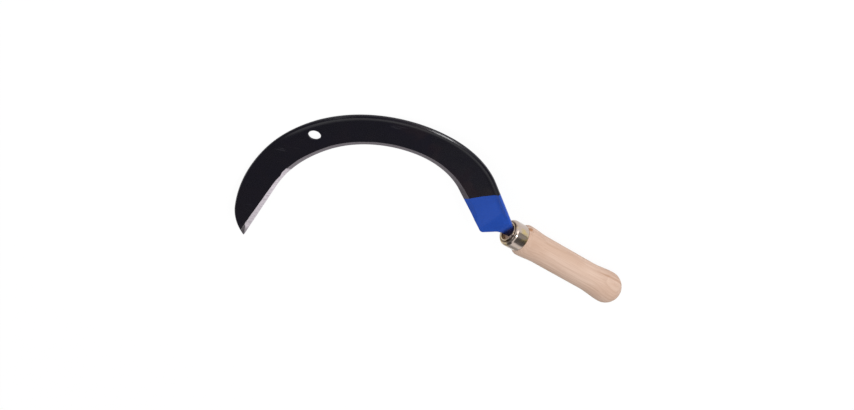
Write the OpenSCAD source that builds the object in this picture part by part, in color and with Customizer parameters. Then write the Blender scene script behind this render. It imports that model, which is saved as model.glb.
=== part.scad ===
// Grass sickle: a forged blade with its tang, a pressed ferrule and a turned wooden handle.
// Blade frame: underside on z = 0, ground bevel on the upper face, handle running along +x.
// The ferrule's mouth is centred on x = 0. Every size is in millimetres, every angle in degrees.

/* [Spine] */
// Angle between the straight start of the spine and the handle
spine_lead = 29.3; // [15:0.1:45]
// Height of the spine above the handle's centre line, where the neck bends
spine_foot = 11.5; // [9:0.1:14]
// Straight start of the spine
spine_run = 53; // [30:0.5:80]
// Spine radius beside the painted heel
heel_arc_r = 98; // [80:0.5:130]
// Turn of that arc
heel_arc_turn = 39.5; // [30:0.5:50]
// Spine radius over the crown
crown_arc_r = 124; // [100:0.5:150]
// Turn of that arc
crown_arc_turn = 62; // [50:0.5:72]
// Spine radius past the hang hole
far_arc_r = 148; // [110:0.5:190]
// Turn of that arc
far_arc_turn = 23; // [15:0.5:32]
// Spine radius down the far side
side_arc_r = 203; // [140:1:260]
// Turn of that arc
side_arc_turn = 26.5; // [18:0.5:34]
// Spine radius at the point
point_arc_r = 74; // [60:0.5:90]
// Turn of that arc
point_arc_turn = 33; // [25:0.5:38]

/* [Cutting edge] */
// Heel corner: distance in front of the ferrule's mouth
heel_x = 15.5; // [12:0.1:20]
// Heel corner: distance to the side of the handle's centre line
heel_y = 21; // [17:0.1:24]
// Angle between the straight start of the edge and the handle
edge_lead = 25.9; // [18:0.1:32]
// Straight start of the edge
edge_run = 59.5; // [45:0.5:75]
// Edge radius beside the heel
edge_heel_r = 71.5; // [60:0.5:85]
// Turn of that arc
edge_heel_turn = 45.8; // [38:0.1:54]
// Edge radius under the crown
edge_crown_r = 91.3; // [75:0.1:105]
// Turn of that arc
edge_crown_turn = 52.3; // [44:0.1:60]
// Edge radius on the far side
edge_far_r = 134.5; // [110:0.5:160]
// Turn of that arc
edge_far_turn = 34.2; // [28:0.1:38]

/* [Blade section] */
// Thickness of the blade between edge and rib
web_t = 1.6; // [1.2:0.1:2.4]
// Thickness at the raised back
spine_t = 3; // [2.6:0.1:4]
// Width of the raised back's top
rib_w = 1.7; // [1.3:0.1:4]
// Run of the slope from the raised back to the web
rib_slope = 4; // [1:0.1:6]
// Distance from the point, along the spine, at which the raised back has sunk to the web
rib_gone = 141; // [60:1:200]
// Length over which it sinks
rib_fade = 70; // [30:1:120]
// Chamfer on the outer corner of the raised back
back_chamfer = 1.2; // [0.4:0.1:1.3]
// Chamfer on the corners of the neck, the tang and the heel's end
chamfer = 0.5; // [0.2:0.1:0.8]
// Width of the ground bevel
bevel_w = 4.6; // [3:0.1:7]
// Thickness left at the cutting edge
edge_t = 0.2; // [0.1:0.05:0.5]
// Distance along the edge from the heel corner to the start of the bevel
bevel_start = 10; // [6:1:30]
// Length over which the bevel grows to its full width
bevel_fade = 16; // [6:1:30]
// Blunt width left at the very point
point_w = 1; // [0.4:0.1:2]
// Outside radius on the heel corner
heel_round = 3; // [1:0.5:5]

/* [Hang hole] */
// Diameter of the hang hole
hole_d = 11.4; // [8:0.1:16]
// Distance of its centre from the spine
hole_inset = 14.5; // [12:0.1:20]
// Position along the far arc, from its near end
hole_turn = 2.4; // [0:0.1:12]

/* [Neck and tang] */
// Distance from the bend in the neck to the ferrule's mouth
neck_run = 6; // [4:0.5:9]
// Bend of the handle below the blade
neck_bend = 9; // [0:0.5:14]
// Length over which the neck thins down to the web
swage_run = 14; // [10:1:24]
// Slope of the heel's end
heel_slope = 62; // [50:1:70]
// Inside radius between the heel's end and the tang
neck_fillet = 7; // [4:0.5:12]
// Thickness of the tang where it enters the ferrule
tang_t = 4; // [3.2:0.1:5]
// Width of the tang at its root
tang_w = 8; // [7:0.1:10]
// Length of the tang behind the ferrule's mouth
tang_run = 92; // [60:1:120]
// Width of the tang at its end
tang_end_w = 4.5; // [3:0.1:7]
// Thickness of the tang at its end
tang_end_t = 2.4; // [1.6:0.1:3.2]

/* [Ferrule] */
// Outside diameter of the ferrule
ferrule_d = 26.5; // [25:0.1:29]
// Length of the ferrule
ferrule_run = 16; // [12:0.5:22]
// Wall of the ferrule
ferrule_wall = 1; // [0.6:0.1:1.6]
// Diameter of the ferrule's mouth
mouth_d = 17.6; // [17:0.1:19]

/* [Handle] */
// Length from the ferrule's mouth to the end of the handle
handle_run = 153; // [120:1:180]
// Diameter where the wood meets the ferrule's edge
collar_d = 27.4; // [26.5:0.1:29]
// Diameter of the shoulder behind the ferrule
shoulder_d = 31; // [29:0.1:35]
// Distance from the ferrule's edge to the widest part of the shoulder
shoulder_run = 5; // [3:0.5:8]
// Distance from the shoulder to the grip
shoulder_fall = 22; // [12:0.5:32]
// Diameter of the grip
grip_d = 28.3; // [25:0.1:31]
// Distance over which the grip swells to the rounded end
butt_swell = 28; // [18:0.5:40]
// Diameter of the rounded end
butt_d = 32.2; // [30:0.1:36]

/* [Fits] */
// Gap between the wood and the inside of the ferrule
ferrule_fit = 0.05; // [0.02:0.01:0.2]
// Gap between the tang and the wood
tang_fit = 0.1; // [0.05:0.05:0.3]

/* [Resting] */
// Bearing of the point of the spine on which the sickle rests
rest_bearing = 161.4; // [150:0.1:180]
// Turn of the whole sickle on the table
yaw = -35.4; // [-180:0.1:180]

/* [Hidden] */
$fn = 96;
// Number of sections along the blade, round the heel corner and through the neck
sections = 90;
corner_sections = 4;
neck_sections = 16;
// Room by which a cutter runs past the metal
past = 1;

function unit(a) = [cos(a), sin(a)];

// A chain of arcs, each [radius, turn], turning left. A station is [point, heading].
function arc_centre(s, arc) = s[0] + arc[0] * unit(s[1] + 90);
function arc_end(s, arc) = [arc_centre(s, arc) + arc[0] * unit(s[1] + arc[1] - 90), s[1] + arc[1]];
function walk(s, arcs, i = 0) = i == len(arcs) ? [s] : concat([s], walk(arc_end(s, arcs[i]), arcs, i + 1));
function run(s, d) = [s[0] + d * unit(s[1]), s[1]];

spine_arcs = [
  [heel_arc_r, heel_arc_turn],
  [crown_arc_r, crown_arc_turn],
  [far_arc_r, far_arc_turn],
  [side_arc_r, side_arc_turn],
  [point_arc_r, point_arc_turn],
];
edge_arcs = [
  [edge_heel_r, edge_heel_turn],
  [edge_crown_r, edge_crown_turn],
  [edge_far_r, edge_far_turn],
];
spine_foot_s = [[-neck_run, spine_foot], 180 - spine_lead];
spine_s = walk(run(spine_foot_s, spine_run), spine_arcs);
heel_s = [[-heel_x, -heel_y], 180 - edge_lead];
edge_s = walk(run(heel_s, edge_run), edge_arcs);
spine_end = spine_s[len(spine_arcs)];
edge_end = edge_s[len(edge_arcs)];
point_p = spine_end[0] + point_w * unit(spine_end[1] + 90);

// Station at a distance along a chain: a straight start, its arcs, and a straight out to the last point
function arc_run(arc) = arc[0] * arc[1] * PI / 180;
function chain_run(arcs, i = 0) = i == len(arcs) ? 0 : arc_run(arcs[i]) + chain_run(arcs, i + 1);
function bearing(v) = let (b = atan2(v[1], v[0])) b < 0 ? b + 360 : b;
function on_arcs(s, arcs, d, last, i = 0) =
  i == len(arcs)
  ? let (v = last - s[i][0], far = max(norm(v), point_w)) [s[i][0] + d * v / far, bearing(v)]
  : d <= arc_run(arcs[i]) ? arc_end(s[i], [arcs[i][0], arcs[i][1] * d / arc_run(arcs[i])])
  : on_arcs(s, arcs, d - arc_run(arcs[i]), last, i + 1);
function on_chain(foot, start_run, s, arcs, d, last) =
  d <= start_run ? run(foot, d) : on_arcs(s, arcs, d - start_run, last);
spine_len = spine_run + chain_run(spine_arcs);
edge_len = edge_run + chain_run(edge_arcs) + norm(point_p - edge_end[0]);
function spine_st(d) =
  d >= spine_len ? spine_end : on_chain(spine_foot_s, spine_run, spine_s, spine_arcs, d, spine_end[0]);
function edge_st(d) = on_chain(heel_s, edge_run, edge_s, edge_arcs, d, point_p);

// Point of the spine whose outward side faces a bearing, for arcs that hold that bearing
function spine_at(b, i = 0) =
  i == len(spine_arcs) - 1 || b + 90 <= spine_s[i + 1][1]
  ? arc_centre(spine_s[i], spine_arcs[i]) + spine_arcs[i][0] * unit(b)
  : spine_at(b, i + 1);

// Neck and tang, laid out flat
tang_half = tang_w / 2;
tang_end_half = tang_end_w / 2;
heel_line_x = -heel_x + (heel_y - tang_half) / tan(heel_slope);
fillet_x = heel_line_x + neck_fillet * tan(heel_slope / 2);
fillet_y = -tang_half - neck_fillet;
fillet_from = fillet_x - neck_fillet * sin(heel_slope);
spine_tang_x = -neck_run + (spine_foot - tang_half) / tan(spine_lead);

// Handle: outside radii along its axis, and the centre of its rounded end
butt_r = butt_d / 2;
butt_x = handle_run - butt_r;
ferrule_r = ferrule_d / 2;
bore_r = ferrule_r - ferrule_wall;
dome_r = ferrule_r - mouth_d / 2;
spigot_r = bore_r - ferrule_fit;
shoulder_x = ferrule_run + shoulder_run;
grip_x = shoulder_x + shoulder_fall;
swell_x = butt_x - butt_swell;
function ease(t) = t * t * (3 - 2 * t);
function blend(x0, r0, x1, r1, n) = [for (i = [1 : n]) [r0 + (r1 - r0) * ease(i / n), x0 + (x1 - x0) * i / n]];

// Resting pose: the table touches the spine at one point and the rounded end of the handle
rest_p = spine_at(rest_bearing);
butt_c = [-neck_run + (neck_run + butt_x) * cos(neck_bend), 0, tang_t / 2 - (neck_run + butt_x) * sin(neck_bend)];
rest_far = (rest_p - [butt_c[0], butt_c[1]]) * unit(rest_bearing);
rest_down = -butt_c[2];
lean = atan(rest_down / rest_far) + asin(butt_r / norm([rest_far, rest_down]));

// Directions of the blade frame after it is leant about the line that touches the table
function leant(p) =
  let (
    v = [p[0] - rest_p[0], p[1] - rest_p[1]],
    out = v * unit(rest_bearing),
    side = v * unit(rest_bearing + 90),
    far = out * cos(lean) + p[2] * sin(lean),
    high = -out * sin(lean) + p[2] * cos(lean),
    xy = rest_p + far * unit(rest_bearing) + side * unit(rest_bearing + 90)
  )
  [xy[0] * cos(yaw) - xy[1] * sin(yaw), xy[0] * sin(yaw) + xy[1] * cos(yaw), high];
// Bearing in the blade whose spine point lies furthest towards a bearing on the table
function blade_bearing(b) =
  let (
    d = b - yaw - rest_bearing,
    out = cos(d) * cos(lean),
    side = sin(d)
  )
  rest_bearing + atan2(side, out);
left_b = blade_bearing(180);
back_b = blade_bearing(90);
// The upper corner of the spine leans out furthest, at the left where the raised back has sunk to the web
function corner_z(t) = t - min(back_chamfer, t / 2);
left_p = leant([spine_at(left_b)[0], spine_at(left_b)[1], corner_z(web_t)]);
back_p = leant([spine_at(back_b)[0], spine_at(back_b)[1], corner_z(spine_t)]);
butt_p = leant(butt_c);
place = [-(left_p[0] + butt_p[0] + butt_r) / 2, -(back_p[1] + butt_p[1] - butt_r) / 2, 0];

// Carries the blade frame onto the table
module on_table()
  translate(place)
    rotate([0, 0, yaw])
      translate([rest_p[0], rest_p[1], 0])
        rotate(a = lean, v = [-sin(rest_bearing), cos(rest_bearing), 0])
          translate([-rest_p[0], -rest_p[1], 0])
            children();

// Carries the handle's frame, x along its axis from the ferrule's mouth, into the blade frame
module on_handle()
  translate([-neck_run, 0, tang_t / 2])
    rotate([0, neck_bend, 0])
      translate([neck_run, 0, 0])
        children();

function ramp(t) = ease(min(1, max(0, t)));

// Sides and thickness of the neck and tang along the handle's axis
function tang_share(x) = min(1, max(0, (x - spine_tang_x) / (tang_run - spine_tang_x)));
function tang_side(x) = tang_half + (tang_end_half - tang_half) * tang_share(x);
function upper_side(x) = max(spine_foot - (x + neck_run) * tan(spine_lead), tang_side(x));
function lower_side(x) =
  x < fillet_from ? -heel_y + (heel_x + x) * tan(heel_slope)
  : x < fillet_x ? fillet_y + sqrt(neck_fillet * neck_fillet - (x - fillet_x) * (x - fillet_x))
  : -tang_side(x);
function half_t(x) = tang_t / 2 + (tang_end_t - tang_t) / 2 * (x + neck_run) / (tang_run + neck_run);

// Eight points of a section through the neck or tang, spine side first, grown by g for the socket
function tang_ring(x, g) =
  let (
    u = upper_side(x) + g,
    l = lower_side(x) - g,
    h = half_t(x) + g,
    c = chamfer
  )
  [
    [u, -h],
    [u, h - c],
    [u - c, h],
    [u - (u - l) / 3, h],
    [l + (u - l) / 3, h],
    [l + c, h],
    [l, h - c],
    [l, -h],
  ];
neck_end_x = max(fillet_x, spine_tang_x) + past;
function bent(x, q) = [
  -neck_run + (x + neck_run) * cos(neck_bend) + q[1] * sin(neck_bend),
  q[0],
  tang_t / 2 - (x + neck_run) * sin(neck_bend) + q[1] * cos(neck_bend),
];
tang_rows = concat(
  [[for (q = tang_ring(tang_run, 0)) bent(tang_run, q)]],
  [
    for (i = [neck_sections : -1 : 1])
      let (x = -neck_run + (neck_end_x + neck_run) * i / neck_sections) [for (q = tang_ring(x, 0)) bent(x, q)]
  ],
  [[for (q = tang_ring(-neck_run, 0)) [-neck_run + q[1] * tan(neck_bend / 2), q[0], tang_t / 2 + q[1]]]]
);

// Height of the blade's upper face where the neck thins down to the web
function root_z(p) = web_t + (tang_t - web_t) * ramp((p[0] + neck_run + swage_run) / swage_run);

// Thickness at the back, at a distance along the spine
function back_t(d) = web_t + (spine_t - web_t) * ramp((spine_len - rib_gone - d) / rib_fade);

// Eight points of a section between a station of the spine and one of the edge.
// grind is the share of the bevel that is ground there, back the thickness at the spine.
function blade_ring(a, b, grind, back) =
  let (
    w = norm(b[0] - a[0]),
    full = rib_w + rib_slope + bevel_w + past,
    f = min(1, w / full),
    na = unit(a[1] + 90),
    nb = unit(b[1] + 90),
    c = back - corner_z(back),
    p2 = a[0] + c * f * na,
    p3 = a[0] + rib_w * f * na,
    p4 = a[0] + (rib_w + rib_slope) * f * na,
    p5 = b[0] - max(chamfer, bevel_w * grind) * f * nb,
    z = function(p, h) edge_t + (max(h, root_z(p)) - edge_t) * f,
    zb = z(b[0], web_t)
  )
  [
    [a[0][0], a[0][1], 0],
    [a[0][0], a[0][1], z(a[0], back) - c * f],
    [p2[0], p2[1], z(p2, back)],
    [p3[0], p3[1], z(p3, back)],
    [p4[0], p4[1], z(p4, web_t)],
    [p5[0], p5[1], z(p5, web_t)],
    [b[0][0], b[0][1], zb + (edge_t - zb) * max(grind, chamfer / zb)],
    [b[0][0], b[0][1], 0],
  ];

// Heel corner: the heel's end and the cutting edge meet in a rounded corner
corner_turn = heel_slope + edge_lead;
corner_reach = heel_round * tan(corner_turn / 2);
corner_c = run(heel_s, corner_reach)[0] - heel_round * unit(heel_s[1] + 90);
spine_step = (heel_x - neck_run) / corner_sections;
// Rows down the fillet where it starts in front of the bend in the neck
fillet_rows = [
  for (j = [1 : corner_sections])
    let (
      share = j / corner_sections,
      x = -neck_run + min(0, fillet_from + neck_run) * share,
      h = 180 + asin(min(sin(heel_slope), (fillet_x - x) / neck_fillet))
    )
    blade_ring(spine_st(spine_step * share / 2), [[x, lower_side(x)], h], 0, spine_t)
];
corner_rows = [
  for (k = [0 : corner_sections])
    let (h = 180 + heel_slope - corner_turn * k / corner_sections)
    blade_ring(spine_st(spine_step * (k + 1)), [corner_c + heel_round * unit(h + 90), h], 0, spine_t)
];
rows_from = spine_step * (corner_sections + 1);
blade_rows = [
  for (i = [1 : sections])
    let (
      t = i / sections,
      s = rows_from + (spine_len - rows_from) * t,
      d = corner_reach + (edge_len - corner_reach) * t
    )
    blade_ring(spine_st(s), edge_st(d), ramp((d - bevel_start) / bevel_fade), back_t(s))
];

// Skin over a list of sections with the same number of points
module skin(rows) {
  n = len(rows);
  m = len(rows[0]);
  polyhedron(
    points = [for (r = rows) for (q = r) q],
    faces = concat(
      [[for (j = [m - 1 : -1 : 0]) j], [for (j = [0 : m - 1]) (n - 1) * m + j]],
      [for (i = [0 : n - 2]) for (j = [0 : m - 1]) let (k = (j + 1) % m) [i * m + j, i * m + k, (i + 1) * m + k]],
      [for (i = [0 : n - 2]) for (j = [0 : m - 1]) let (k = (j + 1) % m) [i * m + j, (i + 1) * m + k, (i + 1) * m + j]]
    )
  );
}

// Room for the tang along the handle's axis
module socket(g)
  skin(concat(
    [[for (q = tang_ring(tang_run, g)) [tang_run + g, q[0], q[1]]]],
    [
      for (i = [neck_sections : -1 : 0])
        let (x = -neck_run + (neck_end_x + neck_run) * i / neck_sections)
        [for (q = tang_ring(x, g)) [x, q[0], q[1]]]
    ]
  ));

hole_p = arc_centre(spine_s[2], spine_arcs[2]) + (far_arc_r - hole_inset) * unit(spine_s[2][1] - 90 + hole_turn);

// Forged blade in one piece with its raised back, neck and tang
module blade()
  color([0.13, 0.13, 0.14])
    on_table()
      difference() {
        skin(concat(tang_rows, fillet_rows, corner_rows, blade_rows));
        translate([hole_p[0], hole_p[1], -past]) cylinder(d = hole_d, h = tang_t + 2 * past);
      }

// Pressed ferrule: a cap with a rounded front and an open mouth
module ferrule()
  color([0.62, 0.58, 0.5])
    on_table()
      on_handle()
        rotate([0, 90, 0])
          rotate_extrude()
            union() {
              translate([bore_r, dome_r]) square([ferrule_wall, ferrule_run - dome_r]);
              intersection() {
                difference() {
                  translate([ferrule_r - dome_r, dome_r]) circle(r = dome_r);
                  translate([ferrule_r - dome_r, dome_r]) circle(r = dome_r - ferrule_wall);
                }
                translate([ferrule_r - dome_r, 0]) square([dome_r, dome_r]);
              }
            }

// Turned handle with the spigot that fills the ferrule and the socket that holds the tang
module handle()
  color([0.85, 0.72, 0.6])
    on_table()
      on_handle()
        difference() {
          union() {
            rotate([0, 90, 0])
              rotate_extrude()
                polygon(concat(
                  [[0, dome_r], [spigot_r, dome_r], [spigot_r, ferrule_run], [collar_d / 2, ferrule_run]],
                  blend(ferrule_run, collar_d / 2, shoulder_x, shoulder_d / 2, 4),
                  blend(shoulder_x, shoulder_d / 2, grip_x, grip_d / 2, 6),
                  blend(swell_x, grip_d / 2, butt_x, butt_r, 8),
                  [[0, butt_x]]
                ));
            translate([butt_x, 0, 0]) sphere(r = butt_r);
          }
          socket(tang_fit);
        }

blade();
ferrule();
handle();
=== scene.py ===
"""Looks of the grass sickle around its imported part: forged blade, pressed ferrule, turned handle.

Sizes are in millimetres, where a comment doesn't say metres, in the blade's and the handle's own
frames. Each piece is placed on the table, in metres, at the end of its making.
"""

import math

import bmesh
import bpy
import numpy as np
from mathutils import Matrix, Vector
from mathutils.kdtree import KDTree


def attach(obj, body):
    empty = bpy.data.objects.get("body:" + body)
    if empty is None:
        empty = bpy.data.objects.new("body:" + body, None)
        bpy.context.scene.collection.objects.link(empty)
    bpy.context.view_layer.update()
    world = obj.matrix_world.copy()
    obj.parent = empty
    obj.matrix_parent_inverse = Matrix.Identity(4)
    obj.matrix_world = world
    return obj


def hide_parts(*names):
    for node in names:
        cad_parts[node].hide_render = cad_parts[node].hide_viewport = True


MM = 0.001
# Lengths under the first are none at all, and places nearer than the second are one
TINY = 1e-9
SAME_PLACE = 1e-4
# Faces that meet at more than this angle keep a crisp edge
CREASE = math.radians(40)

# Spine and cutting edge, as chains of arcs that turn left, each arc a radius and a turn in degrees.
# A chain starts straight, for its run, at its lead's angle in degrees to the handle's axis
SPINE_LEAD = 29.3
SPINE_FOOT = 11.5
SPINE_RUN = 53
SPINE_ARCS = [(98, 39.5), (124, 62), (148, 23), (203, 26.5), (74, 33)]
HEEL_X = 15.5
HEEL_Y = 21
EDGE_LEAD = 25.9
EDGE_RUN = 59.5
EDGE_ARCS = [(71.5, 45.8), (91.3, 52.3), (134.5, 34.2)]

# Section of the blade: T is a thickness and W a width. The raised back, or rib, fades over a length
# and is gone at a distance before the point. The bevel starts at a distance from the heel's corner
# and grows over a length. Where less than the spare width of web is left between the rib and the
# bevel, the whole section shrinks
WEB_T = 1.6
SPINE_T = 3.0
RIB_W = 1.7
RIB_SLOPE = 4
RIB_GONE = 141
RIB_FADE = 70
BACK_CHAMFER = 1.2
CHAMFER = 0.5
BEVEL_W = 4.6
WEB_SPARE = 1
EDGE_T = 0.2
BEVEL_START = 10
BEVEL_FADE = 16
POINT_W = 1
HEEL_ROUND = 3

# Hang hole: the spine's arc beside it, counted from 0, its radius, how far in from that arc its
# middle lies, and the turn from the arc's start in degrees
HOLE_ARC = 2
HOLE_R = 5.7
HOLE_INSET = 14.5
HOLE_TURN = 2.4

# Neck and tang: the neck bends down by some degrees and thins out to the web along the swage
NECK_RUN = 6
NECK_BEND = 9
BEND_HALF = 3.5
SWAGE_RUN = 14
HEEL_SLOPE = 62
NECK_FILLET = 7
TANG_T = 4
TANG_W = 8
TANG_RUN = 92
TANG_END_W = 4.5
TANG_END_T = 2.4
TANG_FIT = 0.1

# Ferrule and handle: R is a radius, a run is a length along the axis and a fit is a gap
FERRULE_R = 13.25
FERRULE_RUN = 16
FERRULE_WALL = 1
MOUTH_R = 8.8
FERRULE_FIT = 0.05
HANDLE_RUN = 153
COLLAR_R = 13.7
SHOULDER_R = 15.5
SHOULDER_RUN = 5
SHOULDER_FALL = 22
GRIP_R = 14.15
BUTT_SWELL = 28
BUTT_R = 16.1

# Pose on the table, in degrees: the bearing in the blade of the spine point that it rests on, and
# the turn of the whole sickle
REST_BEARING = 161.4
YAW = -35.4

# Camera, in the blade's frame: where it stands, the directions to its right and its top, its lens
# and its sensor, and how far it sees, in metres
CAMERA_PLACE = (-637.5, 761.29, 872.21)
CAMERA_RIGHT = (0.72848, 0.67058, -0.14015)
CAMERA_TOP = (-0.53209, 0.42497, -0.73231)
CAMERA_LENS = 58.92
CAMERA_SENSOR = 36.0
CAMERA_REACH = 50

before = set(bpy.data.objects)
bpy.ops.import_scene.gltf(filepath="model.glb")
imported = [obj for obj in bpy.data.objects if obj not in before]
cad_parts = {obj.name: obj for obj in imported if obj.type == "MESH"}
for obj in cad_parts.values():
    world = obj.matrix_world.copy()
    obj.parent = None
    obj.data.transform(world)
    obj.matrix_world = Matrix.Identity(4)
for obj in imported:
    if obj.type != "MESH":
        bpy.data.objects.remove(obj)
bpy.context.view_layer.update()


def unit(a):
    """Flat direction at an angle in degrees."""
    return np.array([math.cos(math.radians(a)), math.sin(math.radians(a))])


def ease(t):
    """Smooth step from 0 to 1."""
    t = min(1.0, max(0.0, t))
    return t * t * (3 - 2 * t)


def evenly(start, stop, steps):
    """Numbers from start to stop, both included, in equal steps."""
    return [start + (stop - start) * k / steps for k in range(steps + 1)]


def colour(r, g, b):
    """Linear colour of a tone given in the usual 0 to 255 steps, by the sRGB curve."""
    tones = (c / 255 for c in (r, g, b))
    return tuple(((c + 0.055) / 1.055) ** 2.4 if c > 0.04045 else c / 12.92 for c in tones) + (1.0,)


class Chain:
    """A straight start, arcs that turn left, and a straight run out to a last point."""

    def __init__(self, foot, heading, straight, arcs):
        self.foot = np.array(foot, float)
        self.heading = heading
        self.straight = straight
        self.arcs = arcs
        self.stations = [(self.foot + straight * unit(heading), heading)]
        for r, turn in arcs:
            p, h = self.stations[-1]
            centre = p + r * unit(h + 90)
            self.stations.append((centre + r * unit(h + turn - 90), h + turn))
        self.end = self.stations[-1][0]
        self.last = self.end
        self.length = straight + sum(r * math.radians(turn) for r, turn in arcs)

    def reach(self, last):
        """Adds the straight run out to a last point."""
        self.last = last
        self.length += np.linalg.norm(last - self.end)

    def at(self, d):
        """Point and heading at a distance along the chain."""
        if d <= self.straight:
            return self.foot + d * unit(self.heading), self.heading
        d -= self.straight
        for (p, h), (r, turn) in zip(self.stations, self.arcs):
            if d <= r * math.radians(turn):
                swept = math.degrees(d / r)
                return p + r * unit(h + 90) + r * unit(h + swept - 90), h + swept
            d -= r * math.radians(turn)
        way = self.last - self.end
        far = np.linalg.norm(way)
        if far < TINY:
            return self.end, self.stations[-1][1]
        return self.end + d * way / far, math.degrees(math.atan2(way[1], way[0])) % 360

    def facing(self, b):
        """Point whose outward side faces a bearing."""
        for i, (r, turn) in enumerate(self.arcs):
            p, h = self.stations[i]
            if i == len(self.arcs) - 1 or b + 90 <= h + turn:
                return p + r * unit(h + 90) + r * unit(b)


spine = Chain((-NECK_RUN, SPINE_FOOT), 180 - SPINE_LEAD, SPINE_RUN, SPINE_ARCS)
edge = Chain((-HEEL_X, -HEEL_Y), 180 - EDGE_LEAD, EDGE_RUN, EDGE_ARCS)
edge.reach(spine.end + POINT_W * unit(spine.stations[-1][1] + 90))
hole_station, hole_heading = spine.stations[HOLE_ARC]
hole_arc_r = SPINE_ARCS[HOLE_ARC][0]
hole_centre = hole_station + hole_arc_r * unit(hole_heading + 90)
hole_centre = hole_centre + (hole_arc_r - HOLE_INSET) * unit(hole_heading - 90 + HOLE_TURN)

# Pose: the sickle leans about the spine point on the table until the rounded end touches too
butt_x = HANDLE_RUN - BUTT_R
bend = math.radians(NECK_BEND)
butt_centre = np.array([
    -NECK_RUN + (NECK_RUN + butt_x) * math.cos(bend), 0, TANG_T / 2 - (NECK_RUN + butt_x) * math.sin(bend)
])
rest_point = spine.facing(REST_BEARING)
rest_far = (rest_point - butt_centre[:2]) @ unit(REST_BEARING)
rest_down = -butt_centre[2]
lean = math.atan(rest_down / rest_far) + math.asin(BUTT_R / math.hypot(rest_far, rest_down))
lean_axis = Vector((*unit(REST_BEARING + 90), 0))
turned = Matrix.Rotation(math.radians(YAW), 4, "Z")
leant = Matrix.Translation((*rest_point, 0)) @ Matrix.Rotation(lean, 4, lean_axis)
leant = leant @ Matrix.Translation((-rest_point[0], -rest_point[1], 0))
posed = turned @ leant


def corner_z(t):
    """Height of the chamfer's foot on the outer side of a back of a given thickness."""
    return t - min(BACK_CHAMFER, t / 2)


def blade_bearing(b):
    """Bearing in the blade whose spine point lies furthest towards a bearing on the table."""
    d = math.radians(b - YAW - REST_BEARING)
    return REST_BEARING + math.degrees(math.atan2(math.sin(d), math.cos(d) * math.cos(lean)))


leftmost = posed @ Vector((*spine.facing(blade_bearing(180)), corner_z(WEB_T)))
rearmost = posed @ Vector((*spine.facing(blade_bearing(90)), corner_z(SPINE_T)))
butt = posed @ Vector(butt_centre)
place = Vector((-(leftmost.x + butt.x + BUTT_R) / 2, -(rearmost.y + butt.y - BUTT_R) / 2, 0))
on_table = Matrix.Scale(MM, 4) @ Matrix.Translation(place) @ posed
on_handle = (
    Matrix.Translation((-NECK_RUN, 0, TANG_T / 2))
    @ Matrix.Rotation(bend, 4, "Y")
    @ Matrix.Translation((NECK_RUN, 0, 0))
)
handle_frame = on_table @ on_handle
handle_euler = tuple((posed @ on_handle).to_3x3().to_euler())
handle_origin = tuple(handle_frame.to_translation())


def table_direction(v):
    """Direction on the table of one given in the blade's frame."""
    return (posed.to_3x3() @ Vector(v)).normalized()


# Camera
camera_right = table_direction(CAMERA_RIGHT)
camera_back = camera_right.cross(table_direction(CAMERA_TOP)).normalized()
camera_top = camera_back.cross(camera_right)
camera_data = bpy.data.cameras.new("camera")
camera_data.lens = CAMERA_LENS
camera_data.sensor_width = CAMERA_SENSOR
camera_data.clip_end = CAMERA_REACH
camera = bpy.data.objects.new("camera", camera_data)
camera_turn = Matrix((camera_right, camera_top, camera_back)).transposed()
camera.matrix_world = Matrix.Translation(on_table @ Vector(CAMERA_PLACE)) @ camera_turn.to_4x4()
bpy.context.scene.collection.objects.link(camera)
bpy.context.scene.camera = camera


def link_object(name, mesh):
    made = bpy.data.objects.new(name, mesh)
    bpy.context.scene.collection.objects.link(made)
    return made


# Rounds on the corners of a section through the blade: steps in each, its least length along a
# side, the most of a side that it takes and the sharpest turn, in radians, that it is meant for
CORNER_STEPS = 4
LEAST_CORNER = 0.02
CORNER_SHARE = 0.45
SHARPEST_TURN = 2.6
# Points along the sides of a section, as shares of each: the back's outer face, chamfer, top and
# hollow slope, then the web, the bevel, the edge and the underside
RUNS = [
    [0.5], [0.5], [], [], [], [], [],
    [0.05, 0.2, 0.4, 0.6, 0.8, 0.95],
    [0.08, 0.5, 0.92],
    [],
    [0.03, 0.15, 0.35, 0.65, 0.85, 0.97],
]
# Inner side of the raised back, a hollow: its corners, as shares of its run, and how much further
# it runs out into the web than the CAD's slope
HOLLOW = [0.22, 0.46, 0.72]
HOLLOW_RUN = 0.8


def rounded(corners, radii):
    """Closed outline through corners, rounded, with the same number of points every time."""
    fillets = []
    for i, p in enumerate(corners):
        before = corners[i - 1] - p
        after = corners[(i + 1) % len(corners)] - p
        length_before = np.linalg.norm(before)
        length_after = np.linalg.norm(after)
        before = before / max(length_before, TINY)
        after = after / max(length_after, TINY)
        turn = math.pi - math.acos(max(-1.0, min(1.0, float(before @ after))))
        reach = max(radii[i] * math.tan(min(turn, SHARPEST_TURN) / 2), LEAST_CORNER)
        reach = min(reach, CORNER_SHARE * length_before, CORNER_SHARE * length_after)
        a = p + reach * before
        b = p + reach * after
        fillets.append([
            (1 - t) ** 2 * a + 2 * t * (1 - t) * p + t * t * b for t in evenly(0, 1, CORNER_STEPS)
        ])
    out = []
    for fillet, following, shares in zip(fillets, fillets[1:] + fillets[:1], RUNS):
        out += fillet
        start = fillet[-1]
        out += [start + (following[0] - start) * t for t in shares]
    return out


def root_z(p):
    """Height of the upper face where the neck thins down to the web."""
    return WEB_T + (TANG_T - WEB_T) * ease((p[0] + NECK_RUN + SWAGE_RUN) / SWAGE_RUN)


# The bevel was ground in two passes: a dull one up to here and a bright one on to the point
SECOND_PASS = 250
# Width of the bevel along the edge: distance from the heel corner and width
GRIND_STOPS = [
    (46, 5.7), (62, 5.4), (80, 5.0), (120, 5.0), (160, 4.5), (200, 4.5), (249, 4.1), (251, 4.6),
    (258, 4.4), (263, 3.3), (275, 3.7), (300, 4.6), (325, 5.2), (345, 5.8),
]
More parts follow.
